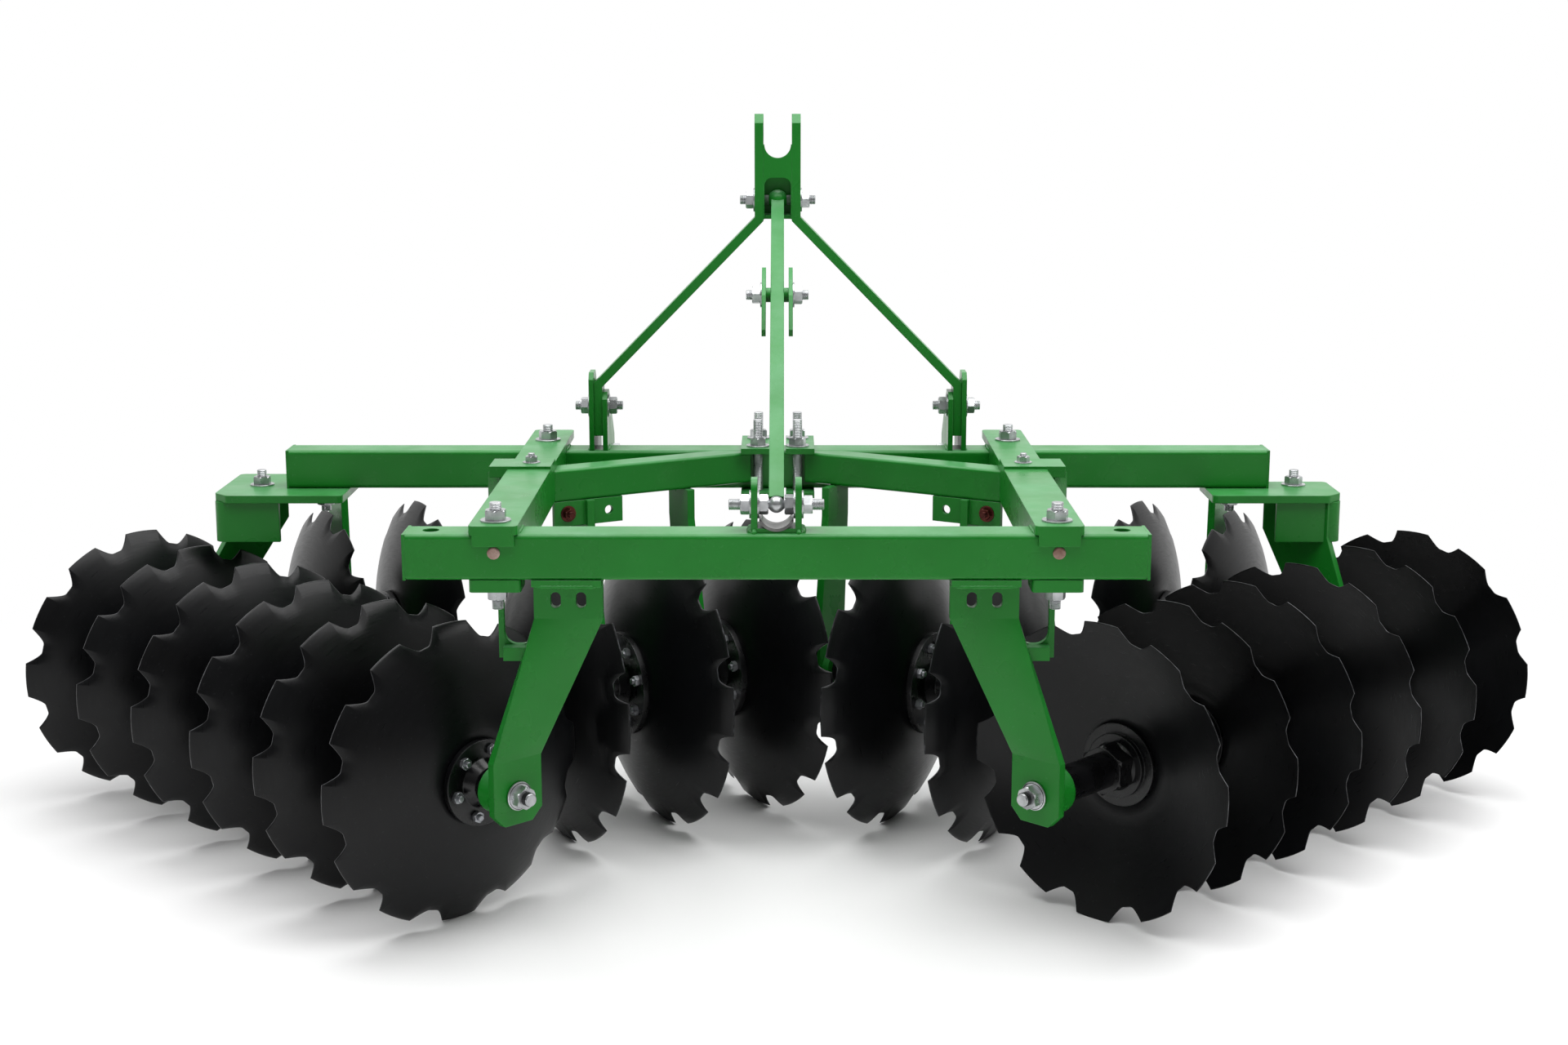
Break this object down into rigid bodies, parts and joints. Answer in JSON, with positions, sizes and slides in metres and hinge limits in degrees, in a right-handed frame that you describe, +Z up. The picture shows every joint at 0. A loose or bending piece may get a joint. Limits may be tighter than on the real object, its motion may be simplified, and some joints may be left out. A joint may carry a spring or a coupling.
{
  "type": "disc harrow",
  "caption": "Tractor-mounted disc harrow: notched concave discs on angled gangs under a green tube frame, with a three-point hitch mast and a sloping centre brace.",
  "frame": {"origin": "middle of the bounding box in plan, on the ground under the discs", "axes": "+X to the machine's right seen from behind, +Y in the travel direction, +Z up"},
  "size_m": [3.1469, 1.5853, 1.446],
  "materials": {
    "green_paint": "gloss",
    "black_paint": "satin",
    "bare_steel": "satin",
    "zinc_plate": "satin"
  },
  "bodies": {
    "frame": {"ball_stud": "zinc_plate", "beam_end_caps": "green_paint", "bearing_housings": "green_paint", "brace_link_plates": "green_paint", "brace_lugs": "green_paint", "centre_brace": "green_paint", "centre_clamp": "green_paint", "clamp_studs": "zinc_plate", "diagonal_beam_left": "green_paint", "diagonal_beam_right": "green_paint", "end_bracket_left": "green_paint", "end_bracket_right": "green_paint", "front_beam": "green_paint", "front_legs_left": "green_paint", "front_legs_right": "green_paint", "hitch_plates": "green_paint", "lower_hitch_pins": "zinc_plate", "mast_bar_left": "green_paint", "mast_bar_right": "green_paint", "mast_bolts": "zinc_plate", "mast_head_plate": "green_paint", "rear_beam": "green_paint", "rear_leg_left": "green_paint", "rear_leg_right": "green_paint", "side_member_left": "green_paint", "side_member_right": "green_paint", "under_plates": "green_paint", "wing_arm_left": "green_paint", "wing_arm_right": "green_paint"},
    "rear_gang_left": {"rear_discs_left": "black_paint", "rear_axle_left": "bare_steel", "rear_spools_left": "black_paint"},
    "front_gang_left": {"front_discs_left": "black_paint", "front_axle_left": "bare_steel", "front_spools_left": "black_paint"},
    "wing_gang_left": {"wing_discs_left": "black_paint", "wing_axle_left": "bare_steel", "wing_spools_left": "black_paint"},
    "rear_gang_right": {"rear_discs_right": "black_paint", "rear_axle_right": "bare_steel", "rear_spools_right": "black_paint"},
    "front_gang_right": {"front_discs_right": "black_paint", "front_axle_right": "bare_steel", "front_spools_right": "black_paint"},
    "wing_gang_right": {"wing_discs_right": "black_paint", "wing_axle_right": "bare_steel", "wing_spools_right": "black_paint"}
  },
  "joints": [
    {"name": "rear_gang_left_spin", "type": "hinge", "parent": "frame", "child": "rear_gang_left", "pos_m": [-0.585, -0.5938, 0.28], "axis": [-0.6947, 0.7193, 0], "continuous": true},
    {"name": "front_gang_left_spin", "type": "hinge", "parent": "frame", "child": "front_gang_left", "pos_m": [-0.046, 0.0752, 0.305], "axis": [-0.866, -0.5, 0], "continuous": true},
    {"name": "wing_gang_left_spin", "type": "hinge", "parent": "frame", "child": "wing_gang_left", "pos_m": [-0.828, 0.5472, 0.28], "axis": [-0.866, -0.5, 0], "continuous": true},
    {"name": "rear_gang_right_spin", "type": "hinge", "parent": "frame", "child": "rear_gang_right", "pos_m": [0.585, -0.5938, 0.28], "axis": [0.6947, 0.7193, 0], "continuous": true},
    {"name": "front_gang_right_spin", "type": "hinge", "parent": "frame", "child": "front_gang_right", "pos_m": [0.046, 0.0752, 0.305], "axis": [0.866, -0.5, 0], "continuous": true},
    {"name": "wing_gang_right_spin", "type": "hinge", "parent": "frame", "child": "wing_gang_right", "pos_m": [0.828, 0.5472, 0.28], "axis": [0.866, -0.5, 0], "continuous": true}
  ]
}
